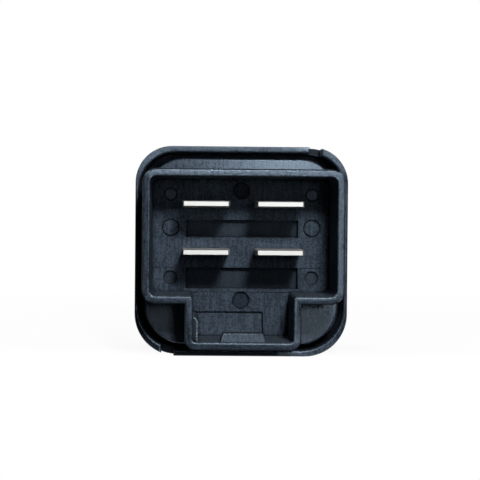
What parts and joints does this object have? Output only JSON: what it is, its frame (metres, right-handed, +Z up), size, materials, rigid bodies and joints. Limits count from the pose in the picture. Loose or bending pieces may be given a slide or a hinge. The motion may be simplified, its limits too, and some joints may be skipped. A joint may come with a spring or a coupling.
{
  "type": "brake light switch",
  "caption": "Plunger brake light switch: square snap-together case with a T-shaped blade-terminal plug socket, ratchet push-in barrel and sprung plunger that opens and closes contact bridges.",
  "frame": {"origin": "on the plunger axis, in the casing's front shoulder face that meets the pedal bracket", "axes": "+Y along the plunger out of the barrel, +Z up with the neck of the T-shaped plug socket down, +X right seen from the plug socket"},
  "size_m": [0.0292, 0.0592, 0.0286],
  "materials": {
    "black_plastic": "moulded glass-filled polyamide, fine satin grain, blue-black",
    "plunger_plastic": "smooth dark acetal",
    "carrier_plastic": "natural ivory thermoset moulding",
    "tinned_strip": "tin-plated brass strip, bright with a soft drawn grain",
    "contact_silver": "silver contact button, satin",
    "bridge_bronze": "bare bronze spring strip",
    "spring_steel": "drawn spring wire"
  },
  "bodies": {
    "housing": {"casing": "black_plastic", "connector_block": "black_plastic", "brake_terminal_left": "tinned_strip", "brake_terminal_right": "tinned_strip", "cruise_terminal_left": "tinned_strip", "cruise_terminal_right": "tinned_strip", "brake_fixed_contact_left": "contact_silver", "brake_fixed_contact_right": "contact_silver", "cruise_fixed_contact_left": "contact_silver", "cruise_fixed_contact_right": "contact_silver", "return_spring": "spring_steel"},
    "plunger_unit": {"plunger": "plunger_plastic", "contact_carrier": "carrier_plastic", "brake_bridge_spring": "spring_steel", "cruise_bridge_spring": "spring_steel"},
    "brake_bridge_unit": {"brake_bridge": "bridge_bronze", "brake_moving_contact_left": "contact_silver", "brake_moving_contact_right": "contact_silver"},
    "cruise_bridge_unit": {"cruise_bridge": "bridge_bronze", "cruise_moving_contact_left": "contact_silver", "cruise_moving_contact_right": "contact_silver"}
  },
  "joints": [
    {"name": "plunger_travel", "type": "slide", "parent": "housing", "child": "plunger_unit", "axis": [0, -1, 0], "range_m": [0, 0.005], "stiffness_N_per_m": 300, "springref_m": -0.005, "deforming": ["return_spring"]},
    {"name": "brake_bridge_float", "type": "slide", "parent": "plunger_unit", "child": "brake_bridge_unit", "axis": [0, -1, 0], "range_m": [0, 0.001], "stiffness_N_per_m": 150, "springref_m": -0.002, "deforming": ["brake_bridge_spring"]},
    {"name": "cruise_bridge_float", "type": "slide", "parent": "plunger_unit", "child": "cruise_bridge_unit", "axis": [0, 1, 0], "range_m": [0, 0.001], "stiffness_N_per_m": 150, "springref_m": -0.002, "deforming": ["cruise_bridge_spring"]}
  ]
}
